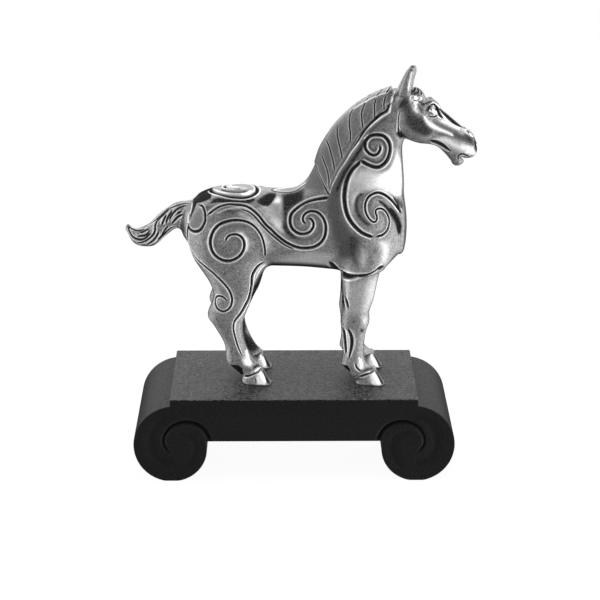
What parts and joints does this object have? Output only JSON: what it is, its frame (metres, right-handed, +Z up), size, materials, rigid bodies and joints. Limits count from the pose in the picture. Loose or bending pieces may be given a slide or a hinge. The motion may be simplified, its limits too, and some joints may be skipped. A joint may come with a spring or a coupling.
{
  "type": "horse figurine on a scroll-ended plinth",
  "caption": "Cast horse figurine standing square on a wooden plinth with rolled volute ends, carved with scrolls, for a shelf or desk.",
  "frame": {"origin": "middle of the whole outline's length and depth, on the surface that the plinth stands on", "axes": "+X the way the horse faces, +Y to its left, +Z up"},
  "size_m": [0.1634, 0.07, 0.1916],
  "materials": {
    "pewter": "polished cast pewter, darkened in the carved lines",
    "black_wood": "black stained wood, satin"
  },
  "bodies": {
    "root": {"horse": "pewter", "plinth": "black_wood"}
  },
  "joints": []
}
